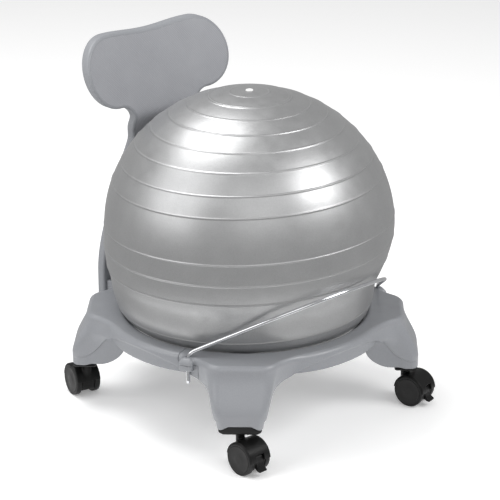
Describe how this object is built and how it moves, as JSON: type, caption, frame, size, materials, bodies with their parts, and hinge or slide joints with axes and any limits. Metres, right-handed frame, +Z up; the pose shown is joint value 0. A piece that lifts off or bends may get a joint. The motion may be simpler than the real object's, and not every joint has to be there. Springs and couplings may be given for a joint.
{
  "type": "exercise ball chair",
  "caption": "Balance ball chair: a ribbed inflatable ball held in a round base on swivelling twin-wheel casters, with a leaning backrest and a wire restraint bar.",
  "frame": {"origin": "on the floor, straight below the ball's centre", "axes": "+Z up, the chair's front faces -Y, and the chair's left side is +X"},
  "size_m": [0.4499, 0.4863, 0.569],
  "materials": {
    "base_plastic": "satin moulded plastic, cool grey with a fine grain",
    "backrest_plastic": "satin moulded plastic, cool grey, finely cross-hatched on the front",
    "ball_vinyl": "satin pearl-silver vinyl with a fine grain and thin raised ribs",
    "white_plastic": "smooth white plastic",
    "chrome": "polished chromed steel rod",
    "steel": "plain zinc-plated steel",
    "brass": "knurled brass",
    "socket_plastic": "black moulded plastic",
    "caster_plastic": "semi-gloss black nylon",
    "wheel_plastic": "black nylon, slightly scuffed at the tread",
    "cap_plastic": "dark grey fine-grained plastic disc"
  },
  "bodies": {
    "root": {"front_base": "base_plastic", "rear_base": "base_plastic", "lap_screws": "steel", "backrest": "backrest_plastic", "backrest_bolts": "steel", "backrest_washers": "steel", "backrest_inserts": "brass", "front_right_socket": "socket_plastic", "front_right_stem": "steel", "front_right_grip_ring": "steel", "front_left_socket": "socket_plastic", "front_left_stem": "steel", "front_left_grip_ring": "steel", "rear_right_socket": "socket_plastic", "rear_right_stem": "steel", "rear_right_grip_ring": "steel", "rear_left_socket": "socket_plastic", "rear_left_stem": "steel", "rear_left_grip_ring": "steel"},
    "restraint_bar": {"restraint_bar": "chrome"},
    "ball": {"ball": "ball_vinyl"},
    "plug": {"ball_plug": "white_plastic"},
    "front_right_swivel": {"front_right_hood": "caster_plastic", "front_right_axle": "steel"},
    "front_right_outer_wheel": {"front_right_outer_wheel": "wheel_plastic", "front_right_outer_cap": "cap_plastic"},
    "front_right_inner_wheel": {"front_right_inner_wheel": "wheel_plastic", "front_right_inner_cap": "cap_plastic"},
    "front_right_lever": {"front_right_brake_lever": "caster_plastic"},
    "front_left_swivel": {"front_left_hood": "caster_plastic", "front_left_axle": "steel"},
    "front_left_outer_wheel": {"front_left_outer_wheel": "wheel_plastic", "front_left_outer_cap": "cap_plastic"},
    "front_left_inner_wheel": {"front_left_inner_wheel": "wheel_plastic", "front_left_inner_cap": "cap_plastic"},
    "front_left_lever": {"front_left_brake_lever": "caster_plastic"},
    "rear_right_swivel": {"rear_right_hood": "caster_plastic", "rear_right_axle": "steel"},
    "rear_right_outer_wheel": {"rear_right_outer_wheel": "wheel_plastic", "rear_right_outer_cap": "cap_plastic"},
    "rear_right_inner_wheel": {"rear_right_inner_wheel": "wheel_plastic", "rear_right_inner_cap": "cap_plastic"},
    "rear_left_swivel": {"rear_left_hood": "caster_plastic", "rear_left_axle": "steel"},
    "rear_left_outer_wheel": {"rear_left_outer_wheel": "wheel_plastic", "rear_left_outer_cap": "cap_plastic"},
    "rear_left_inner_wheel": {"rear_left_inner_wheel": "wheel_plastic", "rear_left_inner_cap": "cap_plastic"}
  },
  "joints": [
    {"name": "ball_lift", "type": "slide", "parent": "root", "child": "ball", "axis": [0, -0.4226, 0.9063], "range_m": [0, 0.12]},
    {"name": "plug_pull", "type": "slide", "parent": "ball", "child": "plug", "axis": [0, 0, 1], "range_m": [0, 0.015]},
    {"name": "restraint_bar_lift", "type": "slide", "parent": "root", "child": "restraint_bar", "axis": [0, 0, -1], "range_m": [-0.015, 0]},
    {"name": "front_right_swivel_turn", "type": "hinge", "parent": "root", "child": "front_right_swivel", "pos_m": [-0.179, -0.179, 0.05], "axis": [0, 0, 1], "continuous": true},
    {"name": "front_right_outer_wheel_spin", "type": "hinge", "parent": "front_right_swivel", "child": "front_right_outer_wheel", "pos_m": [-0.179, -0.197, 0.025], "axis": [1, 0, 0], "continuous": true},
    {"name": "front_right_inner_wheel_spin", "type": "hinge", "parent": "front_right_swivel", "child": "front_right_inner_wheel", "pos_m": [-0.179, -0.197, 0.025], "axis": [1, 0, 0], "continuous": true},
    {"name": "front_right_brake_press", "type": "hinge", "parent": "front_right_swivel", "child": "front_right_lever", "pos_m": [-0.179, -0.2165, 0.03], "axis": [1, 0, 0], "range_deg": [-18, 0]},
    {"name": "front_left_swivel_turn", "type": "hinge", "parent": "root", "child": "front_left_swivel", "pos_m": [0.179, -0.179, 0.05], "axis": [0, 0, 1], "continuous": true},
    {"name": "front_left_outer_wheel_spin", "type": "hinge", "parent": "front_left_swivel", "child": "front_left_outer_wheel", "pos_m": [0.18274, -0.19661, 0.025], "axis": [0.9781, 0.2079, 0], "continuous": true},
    {"name": "front_left_inner_wheel_spin", "type": "hinge", "parent": "front_left_swivel", "child": "front_left_inner_wheel", "pos_m": [0.18274, -0.19661, 0.025], "axis": [0.9781, 0.2079, 0], "continuous": true},
    {"name": "front_left_brake_press", "type": "hinge", "parent": "front_left_swivel", "child": "front_left_lever", "pos_m": [0.1868, -0.21568, 0.03], "axis": [0.9781, 0.2079, 0], "range_deg": [-18, 0]},
    {"name": "rear_right_swivel_turn", "type": "hinge", "parent": "root", "child": "rear_right_swivel", "pos_m": [-0.179, 0.179, 0.05], "axis": [0, 0, 1], "continuous": true},
    {"name": "rear_right_outer_wheel_spin", "type": "hinge", "parent": "rear_right_swivel", "child": "rear_right_outer_wheel", "pos_m": [-0.17464, 0.19647, 0.025], "axis": [-0.9703, 0.2419, 0], "continuous": true},
    {"name": "rear_right_inner_wheel_spin", "type": "hinge", "parent": "rear_right_swivel", "child": "rear_right_inner_wheel", "pos_m": [-0.17464, 0.19647, 0.025], "axis": [-0.9703, 0.2419, 0], "continuous": true},
    {"name": "rear_left_swivel_turn", "type": "hinge", "parent": "root", "child": "rear_left_swivel", "pos_m": [0.179, 0.179, 0.05], "axis": [0, 0, 1], "continuous": true},
    {"name": "rear_left_outer_wheel_spin", "type": "hinge", "parent": "rear_left_swivel", "child": "rear_left_outer_wheel", "pos_m": [0.179, 0.161, 0.025], "axis": [1, 0, 0], "continuous": true},
    {"name": "rear_left_inner_wheel_spin", "type": "hinge", "parent": "rear_left_swivel", "child": "rear_left_inner_wheel", "pos_m": [0.179, 0.161, 0.025], "axis": [1, 0, 0], "continuous": true}
  ]
}
